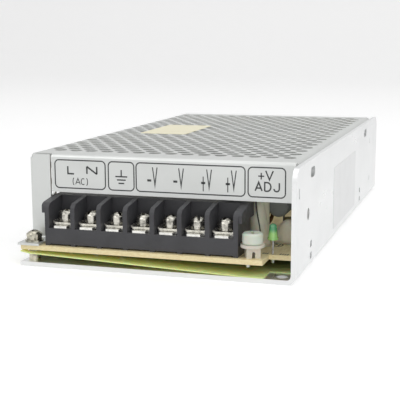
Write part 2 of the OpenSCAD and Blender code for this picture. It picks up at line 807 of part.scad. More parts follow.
module choke_windings() color([0.65, 0.36, 0.16]) in_case() {
  on_board(choke_at[0], choke_at[1]) ring_winding(choke);
}

// The output has two chokes: the wound ring, and a short rod behind the indicator.
module output_choke_core() color([0.85, 0.8, 0.3]) in_case() {
  on_board(output_choke_at[0], output_choke_at[1]) ring_core(output_choke);
  on_board(rod_choke_at[0], rod_choke_at[1]) cylinder(d = rod_choke[0], h = rod_choke[1]);
}

module output_choke_winding() color([0.62, 0.34, 0.15]) in_case() {
  on_board(output_choke_at[0], output_choke_at[1]) ring_winding(output_choke);
  on_board(rod_choke_at[0], rod_choke_at[1]) for (i = [0:rod_choke[3] - 1])
    translate([0, 0, rod_choke[2] / 2 + seat + i * (rod_choke[2] + seat)]) rotate_extrude()
      translate([(rod_choke[0] + rod_choke[2]) / 2 + slip, 0]) circle(d = rod_choke[2], $fn = 16);
}

module bridge_rectifier() color([0.12, 0.12, 0.12]) in_case() {
  on_board(bulk_x - 9, bulk_front - 1 - bridge[1]) {
    translate([0, 0, 3]) cube(bridge);
    for (i = [0:3]) translate([bridge[0] / 8 + i * bridge[0] / 4, bridge[1] / 2, 0]) cylinder(d = 1.1, h = 4);
  }
}

module bulk_capacitor(i) color([0.16, 0.18, 0.24]) in_case() {
  on_board(bulk_x, bulk_y[i]) can(bulk_cap_d, bulk_cap_h);
}

module transformer_core() color([0.2, 0.2, 0.21]) in_case() {
  w = 35;
  on_board(transformer_at[0], transformer_at[1]) translate([-w / 2, -6, 3]) difference() {
    cube([w, 12, transformer_h - 3]);
    for (x = [4.5, w - 4.5 - 8]) translate([x, -1, 4]) cube([8, 14, transformer_h - 11]);
  }
}

module transformer_winding() color([0.85, 0.72, 0.25]) in_case() {
  core_w = 35;
  leg = core_w - 25;
  on_board(transformer_at[0], transformer_at[1]) {
    translate([0, 0, 7.2]) linear_extrude(transformer_h - 11.4) difference() {
      translate([-leg / 2 - 7.8, -14]) rounded(leg + 15.6, 28, 3);
      translate([-leg / 2 - 0.2, -6.2]) square([leg + 0.4, 12.4]);
    }
    for (s = [-1, 1]) translate([-12, s * 11.5 - 2, 0]) cube([24, 4, 7.3]);
  }
}

module power_package(y) {
  on_board(device_x - package[0], y - package[1] / 2) {
    translate([0, 0, 3.5]) cube([package[0], package[1], package[2]]);
    for (i = [-1, 0, 1]) translate([package[0] / 2, package[1] / 2 + i * 5, 0]) cylinder(d = 1, h = 4);
  }
}

module switching_transistor() color([0.1, 0.1, 0.1]) in_case() {
  power_package(device_y[1]);
}

module output_rectifier() color([0.1, 0.1, 0.1]) in_case() {
  power_package(device_y[0]);
}

// Bar that carries the power devices' heat to the right wall.
module heat_spreader() color([0.8, 0.8, 0.82]) in_case() {
  translate([device_x, spreader_y[0], spreader_z[0]])
    cube([spreader_t + cover_fit, spreader_y[1] - spreader_y[0], spreader_z[1] - spreader_z[0]]);
}

// Lies along the board on its two leads, which bend down at its back.
module lying_capacitor() color([0.22, 0.23, 0.24]) in_case() {
  bend_y = lying_cap[1] + 2;
  on_board(lying_cap_at[0], lying_cap_at[1]) {
    translate([0, lying_cap[1], lying_cap_at[2]]) rotate([90, 0, 0]) can(lying_cap[0], lying_cap[1]);
    for (s = [-1, 1]) translate([s * 1.75, 0, 0]) {
      translate([0, bend_y, lying_cap_at[2]]) rotate([90, 0, 0]) cylinder(d = 0.7, h = 2.5);
      translate([0, bend_y, 0]) cylinder(d = 0.7, h = lying_cap_at[2]);
      translate([0, bend_y, lying_cap_at[2]]) sphere(d = 0.7);
    }
  }
}

module standing_capacitor() color([0.22, 0.23, 0.24]) in_case() {
  on_board(standing_cap_at[0], standing_cap_at[1]) can(standing_cap[0], standing_cap[1]);
}

module control_chips() color([0.1, 0.1, 0.11]) in_case() {
  for (chip = [[38, 150, 20], [60, 150, 9]]) on_board(chip[0], chip[1]) {
    translate([0, 0, 0.6]) cube([chip[2], 6.4, 3.4]);
    for (x = [1.2:2.54:chip[2] - 0.5], y = [-0.5, 6.4]) translate([x, y, 0]) cube([0.6, 0.5, 2.2]);
  }
}

module sleeved_choke() color([0.84, 0.83, 0.7]) in_case() {
  on_board(sleeved_at[0], sleeved_at[1]) can(sleeved_part[0], sleeved_part[1]);
}

// A peak of glue against the sleeved part, with a lower lump beside it.
module adhesive() color([0.86, 0.84, 0.74]) in_case() {
  difference() {
    on_board(glue_at[0], glue_at[1]) {
      cylinder(d1 = 6, d2 = 2.2, h = 12.2);
      translate([3.2, 0.4, 0]) cylinder(d1 = 5, d2 = 2, h = 5);
    }
    translate([sleeved_at[0], sleeved_at[1], board_top - 1]) cylinder(d = sleeved_part[0] + 0.02, h = 20);
  }
}

chassis();
cover();
cover_screws();
insulating_film();
circuit_board();
board_standoffs();
board_screws();
solder_joints();
foot_screw();
foot_spring_washer();
foot_flat_washer();
terminal_block();
for (k = [1:cells]) {
  contact_plate(k - 1);
  clamp_washer(k - 1);
  terminal_screw(k - 1);
}
trimmer_base();
trimmer_knob();
led_lens();
led_leads();
top_sticker();
side_sticker();
input_fuse();
thermistor();
x_capacitor();
y_capacitors();
choke_core();
choke_windings();
bridge_rectifier();
bulk_capacitor(0);  // bulk_capacitor_1
bulk_capacitor(1);  // bulk_capacitor_2
transformer_core();
transformer_winding();
switching_transistor();
output_rectifier();
heat_spreader();
output_choke_core();
output_choke_winding();
lying_capacitor();  // output_capacitor_1
standing_capacitor();  // output_capacitor_2
control_chips();
sleeved_choke();
adhesive();
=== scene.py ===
"""Finishes, printed marks and small dressing for a mesh case switching power supply.

Everything is in metres, in the frame of the packed part: +Z up, terminals facing -Y,
origin at the centre of the base.
"""

import math
import random

import bpy
from mathutils import Matrix, Vector


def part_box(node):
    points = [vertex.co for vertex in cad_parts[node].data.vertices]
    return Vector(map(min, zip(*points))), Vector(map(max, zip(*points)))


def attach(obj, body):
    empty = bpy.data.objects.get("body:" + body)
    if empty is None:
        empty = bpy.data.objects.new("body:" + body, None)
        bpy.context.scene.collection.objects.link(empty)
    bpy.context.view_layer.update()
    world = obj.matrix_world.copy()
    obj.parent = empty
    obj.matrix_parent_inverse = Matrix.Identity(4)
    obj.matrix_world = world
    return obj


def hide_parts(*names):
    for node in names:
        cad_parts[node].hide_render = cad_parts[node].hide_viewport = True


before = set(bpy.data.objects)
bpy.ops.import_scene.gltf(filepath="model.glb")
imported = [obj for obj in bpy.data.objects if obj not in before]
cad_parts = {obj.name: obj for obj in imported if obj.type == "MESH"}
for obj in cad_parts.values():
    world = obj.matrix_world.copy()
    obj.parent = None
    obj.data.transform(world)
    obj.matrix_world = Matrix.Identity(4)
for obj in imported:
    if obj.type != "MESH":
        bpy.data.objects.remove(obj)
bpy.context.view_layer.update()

bl_info = {
    "name": "Mesh Case Power Supply",
    "version": (1, 0, 0),
    "blender": (4, 5, 0),
    "location": "View3D > Sidebar > Supply",
    "description": "Dresses a folded-sheet power supply with finishes, printed marks and a studio stage",
    "category": "Object",
}

MM = 0.001
CORNER = Vector((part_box("cover")[0].x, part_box("chassis")[0].y, 0))
BOARD_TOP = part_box("circuit_board")[1].z
RIGHT, BACK, UP = Vector((1, 0, 0)), Vector((0, 1, 0)), Vector((0, 0, 1))

# Printed marks on the lip, in millimetres from the case's corner.
# Frames: left and right end of each.
FRAMES = ((10.0, 28.95), (30.1, 39.5), (40.3, 78.55), (79.6, 92.1))
FRAME_LOW, FRAME_HIGH, FRAME_RADIUS = 26.25, 36.05, 1.5
# Letters: kind, left, low, width, height, stroke width.
LETTERS = (
    ("L", 14.9, 31.3, 2.3, 2.6, 0.56), ("N", 22.1, 31.45, 3.7, 2.6, 0.56),
    ("(", 16.75, 27.2, 0.7, 2.9, 0.3), ("A", 17.75, 27.65, 1.75, 2.1, 0.3),
    ("C", 19.85, 27.65, 1.4, 2.1, 0.3), (")", 21.55, 27.2, 0.7, 2.9, 0.3),
    ("-", 83.0, 33.2, 2.0, 0, 0.42), ("I", 84.0, 32.1, 0, 2.2, 0.42),
    ("V", 85.5, 32.1, 2.5, 2.95, 0.46),
    ("A", 82.0, 28.3, 2.3, 2.85, 0.5), ("D", 85.2, 28.3, 2.05, 2.85, 0.5),
    ("J", 88.3, 28.3, 1.75, 2.85, 0.5),
)
# Outputs: left end and height of the sign, and whether it is a plus.
OUTPUTS = ((44.3, 30.15, False), (53.65, 30.15, False), (63.45, 30.1, True), (71.95, 30.1, True))
# Earth symbol: its middle, the ends of its stem, and its bars' half widths and heights.
EARTH_X = 34.85
EARTH_STEM = (31, 33.3)
EARTH_BARS = ((2.2, 31), (1.6, 29.85), (1.05, 28.7))

# Board legend, in millimetres from the case's corner: a part's outline (middle and half
# sizes), its two marks, and the short strokes along the front edge.
OUTLINE = (86.6, 24.6, 1.7, 2.3)
OUTLINE_MARKS = (((85.4, 23.2), (86.2, 26.2)), ((86.9, 23.0), (87.3, 25.9)))
EDGE_STROKES = (84.6, 85.3, 86.0, 90.4, 91.2, 92.0, 92.8)
EDGE_FRONT, EDGE_BACK, EDGE_LEAN = 10.6, 12.2, 0.25

# Glue, in millimetres from the case's corner: height, middle, half width, half depth.
GLUE_PEAK = (
    (7.3, 80.3, 22.3, 4.4, 3.4), (8.6, 80.4, 22.3, 4.0, 3.2), (10.5, 80.4, 22.3, 3.5, 3.0),
    (13, 80.3, 22.4, 3.3, 2.8), (16, 80.2, 22.5, 3.1, 2.6), (19, 80.1, 22.7, 2.7, 2.3),
    (21.4, 80.3, 22.9, 2.0, 1.8), (23.2, 80.6, 23.1, 0.9, 0.9),
)
GLUE_BEAD = (
    (7.3, 88.6, 28.4, 5.2, 2.6), (9, 88.7, 28.4, 4.6, 2.3), (11.5, 88.9, 28.4, 3.7, 1.9),
    (14, 89.2, 28.4, 2.6, 1.4), (15.6, 89.4, 28.5, 1.1, 0.7),
)
GLUE_SEED = 11
# The sleeved lead: from the board up over the glue to the top of the sleeved part.
LEAD = (
    (82.0, 19.8, 7.3), (81.7, 19.9, 11), (81.2, 20.0, 14.5), (80.3, 20.2, 19), (79.8, 20.6, 22.5),
    (79.8, 21.6, 25.2), (80.4, 23.4, 26.2), (81.2, 25.2, 25.6), (81.3, 25.5, 24.6),
)
LEAD_RADIUS = 0.25 * MM

# Lamps: place, size, and share of the largest lamp's power.
LAMPS = (
    ((0.75, -0.55, 0.75), 0.7, 1.0),
    ((-0.5, -0.6, 0.8), 0.6, 0.6),
    ((0.05, 0.2, 1.1), 0.9, 0.7),
    ((0.3, -1.1, 0.24), 0.5, 0.36),
)
LAMP_TARGET = Vector((0, 0, 0.02))
# A wave texture of scale 1 repeats after this length.
WAVE_REPEAT = 0.314
SENSOR_WIDTH = 36
FLOOR_GLOW = 0.3


def from_corner(x, y, z):
    """A point given in millimetres from the case's front left bottom corner."""
    return CORNER + Vector((x, y, z)) * MM


def in_metres(points):
    return [(x * MM, y * MM) for x, y in points]


def display(red, green, blue):
    """A colour as seen on a screen, 0 to 255, turned into linear values."""
    out = []
    for level in (red, green, blue):
        c = level / 255
        out.append(c / 12.92 if c <= 0.04045 else ((c + 0.055) / 1.055) ** 2.4)
    return tuple(out)


# ---- Settings ----


class SheetSettings(bpy.types.PropertyGroup):
    """The chassis and the perforated cover"""

    chassis_colour: bpy.props.FloatVectorProperty(
        name="Chassis",
        description="Colour of the aluminium sheet",
        subtype="COLOR",
        min=0,
        max=1,
        default=display(229, 230, 230),
    )
    cover_colour: bpy.props.FloatVectorProperty(
        name="Cover",
        description="Colour of the plated steel sheet",
        subtype="COLOR",
        min=0,
        max=1,
        default=display(209, 211, 209),
    )
    rolling_depth: bpy.props.FloatProperty(
        name="Rolling lines",
        description="Depth of the fine lines left by rolling",
        default=0.000004,
        min=0,
        max=0.0001,
        precision=6,
        unit="LENGTH",
    )


class MarkSettings(bpy.types.PropertyGroup):
    """Printed terminal marks on the lip"""

    ink_colour: bpy.props.FloatVectorProperty(
        name="Ink",
        description="Colour of the printed marks",
        subtype="COLOR",
        min=0,
        max=1,
        default=display(52, 54, 54),
    )
    line: bpy.props.FloatProperty(
        name="Line",
        description="Width of the frame lines",
        default=0.42 * MM,
        min=0.1 * MM,
        max=1 * MM,
        precision=5,
        unit="LENGTH",
    )
    letter_line: bpy.props.FloatProperty(
        name="Letter line",
        description="Width of the strokes of the letters",
        default=0.46 * MM,
        min=0.1 * MM,
        max=1 * MM,
        precision=5,
        unit="LENGTH",
    )
    setback: bpy.props.FloatProperty(
        name="Lip setback",
        description="Distance from the front of the chassis to the lip",
        default=10.5 * MM,
        min=5 * MM,
        max=20 * MM,
        precision=4,
        unit="LENGTH",
    )


class StageSettings(bpy.types.PropertyGroup):
    """Floor, lamps and camera"""

    floor_colour: bpy.props.FloatVectorProperty(
        name="Floor",
        description="Colour of the floor and backdrop",
        subtype="COLOR",
        min=0,
        max=1,
        default=(0.93, 0.93, 0.93),
    )
    lamp_power: bpy.props.FloatProperty(
        name="Lamp power",
        description="Power of the largest lamp; the others follow it",
        default=2.6,
        min=0,
        max=50,
        unit="POWER",
    )
    ambient: bpy.props.FloatProperty(
        name="Ambient",
        description="Strength of the even light from all sides",
        default=0.5,
        min=0,
        max=2,
    )
    lens: bpy.props.FloatProperty(
        name="Lens",
        description="Focal length on a 36 mm wide sensor",
        default=85.03,
        min=20,
        max=300,
        subtype="DISTANCE_CAMERA",
        unit="CAMERA",
    )
    camera_place: bpy.props.FloatVectorProperty(
        name="Camera",
        description="Where the camera stands",
        default=(0.107577, -0.385521, 0.078991),
        subtype="TRANSLATION",
        unit="LENGTH",
    )
    camera_turn: bpy.props.FloatVectorProperty(
        name="Camera turn",
        description="Turn to the left, tilt down and roll",
        default=(math.radians(17.509), math.radians(9.976), math.radians(-0.255)),
        unit="ROTATION",
    )


# ---- Finishes ----


class Finish:
    """A procedural material on one Principled shader, with noise in object space."""

    def __init__(self, name, colour, metallic=0.0, roughness=0.5, **sockets):
        self.material = bpy.data.materials.new(name)
        self.material.use_nodes = True
        self.nodes = self.material.node_tree.nodes
        self.links = self.material.node_tree.links
        self.shader = self.nodes["Principled BSDF"]
        self.colour = colour
        self.set("Base Color", (*colour, 1))
        self.set("Metallic", metallic)
        self.set("Roughness", roughness)
        for socket, value in sockets.items():
            self.set(socket.replace("_", " "), value)
        self.place = self.nodes.new("ShaderNodeTexCoord").outputs["Object"]
        self.normal = None

    def set(self, socket, value):
        self.shader.inputs[socket].default_value = value

    def stretched(self, stretch):
        """The part's coordinates, scaled along each axis."""
        node = self.nodes.new("ShaderNodeMapping")
        node.inputs["Scale"].default_value = stretch
        self.links.new(self.place, node.inputs["Vector"])
        return node.outputs["Vector"]

    def noise(self, size, stretch=(1, 1, 1), detail=3.0, rough=0.55):
        """Noise with features of about that size in metres."""
        node = self.nodes.new("ShaderNodeTexNoise")
        node.inputs["Scale"].default_value = 1 / size
        node.inputs["Detail"].default_value = detail
        node.inputs["Roughness"].default_value = rough
        self.links.new(self.stretched(stretch), node.inputs["Vector"])
        return node.outputs["Fac"]

    def cells(self, size, stretch=(1, 1, 1)):
        """A random value in each cell of about that size in metres."""
        node = self.nodes.new("ShaderNodeTexVoronoi")
        node.inputs["Scale"].default_value = 1 / size
        self.links.new(self.stretched(stretch), node.inputs["Vector"])
        return node.outputs["Color"]

    def waves(self, size, axis="X", distort=0.0):
        """Bands that repeat after that size in metres."""
        node = self.nodes.new("ShaderNodeTexWave")
        node.bands_direction = axis
        node.inputs["Scale"].default_value = WAVE_REPEAT / size
        node.inputs["Distortion"].default_value = distort
        self.links.new(self.place, node.inputs["Vector"])
        return node.outputs["Fac"]

    def along(self, axis, low, high):
        """Runs from 0 to 1 between two places along an axis of the part."""
        split = self.nodes.new("ShaderNodeSeparateXYZ")
        self.links.new(self.place, split.inputs["Vector"])
        node = self.nodes.new("ShaderNodeMapRange")
        node.inputs["From Min"].default_value = low
        node.inputs["From Max"].default_value = high
        self.links.new(split.outputs[axis], node.inputs["Value"])
        return node.outputs["Result"]

    def ramp(self, factor, low, high, start=0.3, end=0.7):
        """Runs from one value or colour to another as the factor goes from start to end."""
        node = self.nodes.new("ShaderNodeValToRGB")
        for element, value, place in zip(node.color_ramp.elements, (low, high), (start, end)):
            element.position = place
            element.color = (*value, 1) if hasattr(value, "__len__") else (value, value, value, 1)
        self.links.new(factor, node.inputs["Fac"])
        return node.outputs["Color"]

    def tint(self, factor, other, start=0.35, end=0.7):
        """Blends the base colour towards another one."""
        blend = self.ramp(factor, self.colour, other, start, end)
        self.links.new(blend, self.shader.inputs["Base Color"])
        return self

    def gloss(self, factor, low, high, start=0.3, end=0.7):
        """Lets the roughness wander between two values."""
        level = self.ramp(factor, low, high, start, end)
        self.links.new(level, self.shader.inputs["Roughness"])
        return self

    def bump(self, factor, depth, strength=1.0):
        """Adds relief of that depth in metres on top of the relief so far."""
        node = self.nodes.new("ShaderNodeBump")
        node.inputs["Distance"].default_value = depth
        node.inputs["Strength"].default_value = strength
        self.links.new(factor, node.inputs["Height"])
        if self.normal is not None:
            self.links.new(self.normal, node.inputs["Normal"])
        self.normal = node.outputs["Normal"]
        self.links.new(self.normal, self.shader.inputs["Normal"])
        return self


def darker(colour, share):
    return tuple(c * share for c in colour)


def paint(finish, *nodes):
    """Gives carried-over nodes the finish."""
    for name in nodes:
        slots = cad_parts[name].data.materials
        slots.clear()
        slots.append(finish.material)


def rolled_sheet(name, colour, roughness, line_depth, metallic=0.75, smudge=0.93):
    """Rolled sheet metal: fine lines along the sheet, soft smudges, a slightly uneven gloss."""
    sheet = Finish(name, colour, metallic=metallic, roughness=roughness)
    lines = sheet.noise(0.35 * MM, stretch=(1, 0.03, 1), detail=4)
    cloud = sheet.noise(24 * MM, detail=5)
    sheet.tint(cloud, darker(colour, smudge), 0.45, 0.7)
    sheet.gloss(sheet.noise(9 * MM, stretch=(1, 0.4, 1), detail=6), roughness - 0.03, roughness + 0.06)
    return sheet.bump(lines, line_depth, 0.6)


def bright_nickel(name, colour, roughness=0.16, painted_reflection_share=0.5):
    """Barrel plated small parts, with fine scratches, matt spots in the roughness, and painted
    reflections as darker patches in the colour.
    """
    metal = Finish(name, colour, metallic=1.0, roughness=roughness)
    # Painted reflection: darker patches in the colour stand in for dark surroundings mirrored in the
    # plating.
    metal.tint(metal.noise(1.3 * MM, detail=4), darker(colour, painted_reflection_share), 0.42, 0.7)
    metal.gloss(metal.noise(0.8 * MM, detail=3), roughness - 0.05, roughness + 0.16)
    return metal.bump(metal.noise(0.22 * MM, stretch=(1, 0.3, 1)), 0.012 * MM, 0.7)


def moulded(name, colour, roughness=0.42, grain=0.12 * MM, depth=0.01 * MM, fade=0.8, **sockets):
    """Moulded plastic: a fine spark-eroded grain and a little flow mottling."""
    plastic = Finish(name, colour, roughness=roughness, **sockets)
    plastic.tint(plastic.noise(7 * MM, detail=4), darker(colour, fade), 0.45, 0.75)
    plastic.gloss(plastic.noise(2.2 * MM), roughness - 0.05, roughness + 0.08)
    return plastic.bump(plastic.noise(grain, detail=2), depth)


def phenolic():
    """Paper laminate: warm tan with fibres, and the plies showing as lines at its edge."""
    tan = display(250, 236, 190)
    board = Finish("phenolic laminate", tan, roughness=0.46)
    fibres = board.noise(1.1 * MM, stretch=(1, 0.25, 5), detail=6, rough=0.7)
    board.tint(fibres, display(228, 204, 146), 0.4, 0.75)
    board.bump(board.noise(0.5 * MM, stretch=(0.3, 0.3, 6)), 0.03 * MM)
    return board.bump(board.noise(0.1 * MM), 0.006 * MM)


def clear_film():
    """Thin yellow-green film with a painted glow at its front edge and painted shade darkening it towards
    the back.
    """
    film = Finish(
        "green film", display(238, 244, 176), roughness=0.22, Transmission_Weight=0.12, IOR=1.45
    )
    film.set("Subsurface Weight", 0.5)
    film.set("Subsurface Scale", 1.5 * MM)
    # Painted light: the film glows at its front edge, fading out over the first 8 mm behind it.
    film.set("Emission Color", (*display(214, 226, 110), 1))
    front = CORNER.y
    glow = film.ramp(film.along("Y", front, front + 8 * MM), 0.09, 0, 0, 1)
    film.links.new(glow, film.shader.inputs["Emission Strength"])
    # Painted shade: the colour darkens from 3 mm to 33 mm behind the front, where less light gets under
    # the board.
    film.tint(film.along("Y", front + 3 * MM, front + 33 * MM), display(72, 76, 34), 0, 1)
    return film.bump(film.noise(6 * MM), 0.15 * MM, 0.5)


def enamelled_copper(name, colour):
    wire = Finish(name, colour, metallic=0.6, roughness=0.3)
    wire.set("Coat Weight", 0.7)
    wire.tint(wire.noise(2 * MM), darker(colour, 0.55), 0.4, 0.75)
    return wire.bump(wire.noise(0.6 * MM), 0.03 * MM)


def tape_wrap():
    """Polyester tape in overlapping turns, with faint folds."""
    yellow = display(214, 184, 74)
    tape = Finish("yellow tape", yellow, roughness=0.28)
    tape.set("Coat Weight", 0.3)
    tape.tint(tape.noise(5 * MM, stretch=(1, 1, 3)), display(176, 142, 44), 0.45, 0.75)
    return tape.bump(tape.waves(3.5 * MM, "Z", 1.2), 0.04 * MM).bump(tape.noise(1.5 * MM), 0.05 * MM)


def can_sleeve():
    sleeve = Finish("capacitor sleeve", display(52, 56, 62), roughness=0.33)
    sleeve.set("Coat Weight", 0.2)
    sleeve.tint(sleeve.noise(4 * MM), display(36, 38, 44), 0.4, 0.75)
    return sleeve.bump(sleeve.noise(1.2 * MM, stretch=(1, 1, 0.3)), 0.03 * MM)


def label_paper(name, colour, relief):
    """A plain gloss label; over the perforations the holes press through it faintly."""
    paper = Finish(name, colour, roughness=0.38)
    paper.set("Coat Weight", 0.25)
    paper.tint(paper.noise(12 * MM, detail=5), darker(colour, 0.95), 0.45, 0.7)
    paper.bump(paper.cells(5.4 * MM, stretch=(1, 1.1, 1)), relief, 0.5)
    return paper.bump(paper.noise(0.2 * MM), 0.004 * MM)


# ---- Mesh helpers ----


def add_piece(name, vertices, faces, finish, body="base", smooth=False):
    mesh = bpy.data.meshes.new(name)
    mesh.from_pydata([tuple(v) for v in vertices], [], faces)
    mesh.validate()
    mesh.update()
    mesh.materials.append(finish.material)
    if smooth:
        mesh.polygons.foreach_set("use_smooth", [True] * len(mesh.polygons))
    piece = bpy.data.objects.new(name, mesh)
    bpy.context.scene.collection.objects.link(piece)
    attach(piece, body)
    return piece


def smooth_path(points, steps=6):
    """Catmull-Rom curve through the points."""
    ends = [2 * points[0] - points[1], *points, 2 * points[-1] - points[-2]]
    path = []
    for a, b, c, d in zip(ends, ends[1:], ends[2:], ends[3:]):
        for i in range(steps):
            t = i / steps
            bend = (2 * a - 5 * b + 4 * c - d) * t**2
            path.append((2 * b + (c - a) * t + bend + (3 * b - a - 3 * c + d) * t**3) / 2)
    return [*path, points[-1]]


def skin(first, rings, sides):
    """Faces between rings of vertices, and one across each end."""
    faces = []
    for i in range(rings - 1):
        for j in range(sides):
            a, b = first + i * sides + j, first + i * sides + (j + 1) % sides
            faces.append((a, b, b + sides, a + sides))
    last = first + (rings - 1) * sides
    ends = [tuple(reversed(range(first, first + sides))), tuple(range(last, last + sides))]
    return faces + ends


def tube(points, radius, sides=10):
    """A closed round tube along a smooth path."""
    path = smooth_path(points)
    vertices = []
    side = Vector((1, 0, 0))
    for i, centre in enumerate(path):
        ahead = (path[min(i + 1, len(path) - 1)] - path[max(i - 1, 0)]).normalized()
        side = (side - ahead * side.dot(ahead)).normalized()
        other = ahead.cross(side)
        for j in range(sides):
            a = 2 * math.pi * j / sides
            vertices.append(centre + (side * math.cos(a) + other * math.sin(a)) * radius)
    return vertices, skin(0, len(path), sides)


def ribbon(points, width, closed=False):
    """Left and right edge points of a flat stroke of constant width, with mitred corners."""
    count = len(points)
    pairs = []
    for i, (x, y) in enumerate(points):
        before = points[i - 1] if i or closed else None
        after = points[(i + 1) % count] if i < count - 1 or closed else None
        normals = []
        for a, b in ((before, (x, y)), ((x, y), after)):
            if a is not None and b is not None:
                length = math.dist(a, b)
                normals.append(((a[1] - b[1]) / length, (b[0] - a[0]) / length))
        nx = sum(n[0] for n in normals) / len(normals)
        ny = sum(n[1] for n in normals) / len(normals)
        stretch = width / 2 / (nx * nx + ny * ny)
        pairs.append(((x + nx * stretch, y + ny * stretch), (x - nx * stretch, y - ny * stretch)))
    return pairs


class Print:
    """Collects flat strokes and turns them into one thin closed layer of ink."""

    def __init__(self, width, thickness=0.02 * MM):
        self.width = width
        self.thickness = thickness
        self.vertices = []
        self.faces = []

    def stroke(self, points, closed=False, width=None):
        pairs = ribbon(points, width or self.width, closed)
        first = len(self.vertices)
        for left, right in pairs:
            for depth in (0, self.thickness):
                self.vertices += [(*left, depth), (*right, depth)]
        sections = len(pairs)
        for i in range(sections if closed else sections - 1):
            a = first + 4 * i
            b = first + 4 * ((i + 1) % sections)
            self.faces += [
                (a, b, b + 1, a + 1),
                (a + 2, a + 3, b + 3, b + 2),
                (a, a + 2, b + 2, b),
                (a + 1, b + 1, b + 3, a + 3),
            ]
        if not closed:
            last = first + 4 * (sections - 1)
            self.faces += [(first, first + 1, first + 3, first + 2), (last, last + 2, last + 3, last + 1)]

    def place(self, corner, along, up, out):
        """The strokes' vertices on a plane, along and up from its corner."""
        return [corner + along * x + up * y + out * z for x, y, z in self.vertices]


def arc(cx, cy, rx, ry, start, end, steps=10):
    points = []
    for i in range(steps + 1):
        a = math.radians(start + (end - start) * i / steps)
        points.append((cx + rx * math.cos(a), cy + ry * math.sin(a)))
    return points


def rounded_box(left, low, right, high, radius):
    points = []
    for cx, cy, start in (
        (right - radius, low + radius, -90),
        (right - radius, high - radius, 0),
        (left + radius, high - radius, 90),
        (left + radius, low + radius, 180),
    ):
        points += arc(cx, cy, radius, radius, start, start + 90, 8)
    return points


def letter(kind, x, y, w, h):
    """Centre lines of a plain upright letter in a box."""
    if kind == "L":
        return [[(x, y + h), (x, y), (x + w, y)]]
    if kind == "N":
        return [[(x, y), (x, y + h)], [(x, y + h), (x + w, y)], [(x + w, y), (x + w, y + h)]]
    if kind == "A":
        bar = y + 0.33 * h
        return [[(x, y), (x + w / 2, y + h), (x + w, y)], [(x + w * 0.17, bar), (x + w * 0.83, bar)]]
    if kind == "C":
        return [arc(x + w * 0.52, y + h / 2, w * 0.52, h / 2, 52, 308, 14)]
    if kind == "D":
        curve = arc(x + w * 0.42, y + h / 2, w * 0.58, h / 2, 90, -90, 12)
        return [[(x, y), (x, y + h), *curve, (x, y)]]
    if kind == "J":
        return [[(x + w, y + h), *arc(x + w / 2, y + w / 2, w / 2, w / 2, 0, -180, 10)]]
    if kind == "V":
        return [[(x, y + h), (x + w / 2, y), (x + w, y + h)]]
    if kind == "(":
        return [arc(x + w, y + h / 2, w, h / 2, 118, 242, 8)]
    if kind == ")":
        return [arc(x, y + h / 2, w, h / 2, 62, -62, 8)]
    if kind in "-I":
        return [[(x, y), (x + w, y + h)]]
    raise ValueError(f"no letter {kind}")


# ---- Operators ----


class SUPPLY_OT_dress_case(bpy.types.Operator):
    """Finish the folded chassis, the perforated cover and the screws that close them"""

    bl_idname = "supply.dress_case"
    bl_label = "Dress Case"

    def execute(self, context):
        sheet = context.scene.supply_sheet
        depth = sheet.rolling_depth
        aluminium = rolled_sheet(
            "rolled aluminium", tuple(sheet.chassis_colour), 0.3, depth, metallic=0.9, smudge=0.97
        )
        paint(aluminium, "chassis")
        paint(rolled_sheet("plated steel sheet", tuple(sheet.cover_colour), 0.38, depth), "cover")
        zinc = bright_nickel("zinc plated screws", display(214, 214, 210), 0.26)
        paint(zinc, "cover_screws", "board_screws")
        return {"FINISHED"}


class SUPPLY_OT_print_marks(bpy.types.Operator):
    """Print the terminal marks in their frames on the front lip"""

    bl_idname = "supply.print_marks"
    bl_label = "Print Terminal Marks"

    def execute(self, context):
        marks = context.scene.supply_marks
        layer = Print(marks.letter_line)
        for left, right in FRAMES:
            frame_line = rounded_box(
                left * MM, FRAME_LOW * MM, right * MM, FRAME_HIGH * MM, FRAME_RADIUS * MM
            )
            layer.stroke(frame_line, closed=True, width=marks.line)
        for kind, x, y, w, h, line in (*LETTERS, *self.output_words()):
            for points in letter(kind, x * MM, y * MM, w * MM, h * MM):
                layer.stroke(points, width=line * MM)
        layer.stroke(in_metres([(EARTH_X, z) for z in EARTH_STEM]))
        for half, z in EARTH_BARS:
            layer.stroke(in_metres([(EARTH_X - half, z), (EARTH_X + half, z)]))
        corner = CORNER + BACK * (marks.setback - layer.thickness)
        place = layer.place(corner, RIGHT, UP, BACK)
        ink = Finish("printing ink", tuple(marks.ink_colour), roughness=0.5)
        ink.tint(ink.noise(0.9 * MM), darker(marks.ink_colour, 1.5), 0.5, 0.8)
        ink.bump(ink.noise(0.15 * MM), 0.004 * MM)
        add_piece("terminal_marks", place, layer.faces, ink)
        return {"FINISHED"}

    def output_words(self):
        """A sign and a narrow V for each output."""
        words = []
        for x, z, positive in OUTPUTS:
            words += [("-", x, z, 1.45, 0, 0.75), ("V", x + 1.95, 28.6, 1.65, 6.1, 0.36)]
            if positive:
                words.append(("I", x + 0.72, 27.3, 0, 4.95, 0.34))
        return words


class SUPPLY_OT_dress_terminals(bpy.types.Operator):
    """Finish the barrier block, its contact plates, clamp washers and screws"""

    bl_idname = "supply.dress_terminals"
    bl_label = "Dress Terminals"

    def execute(self, context):
        block = moulded("block moulding", display(67, 67, 70), Specular_IOR_Level=0.4)
        paint(block, "terminal_block")
        # Each plating's darker colour patches are painted reflections (see bright_nickel).
        nickel = bright_nickel("nickel screws", display(205, 202, 192), painted_reflection_share=0.3)
        washer = bright_nickel("nickel washers", display(224, 221, 210), 0.2, painted_reflection_share=0.55)
        contact = bright_nickel("contact metal", display(236, 235, 230), 0.14, painted_reflection_share=0.7)
        for i in range(1, 8):
            paint(contact, f"contact_plate_{i}")
            paint(washer, f"clamp_washer_{i}")
            paint(nickel, f"terminal_screw_{i}")
        return {"FINISHED"}


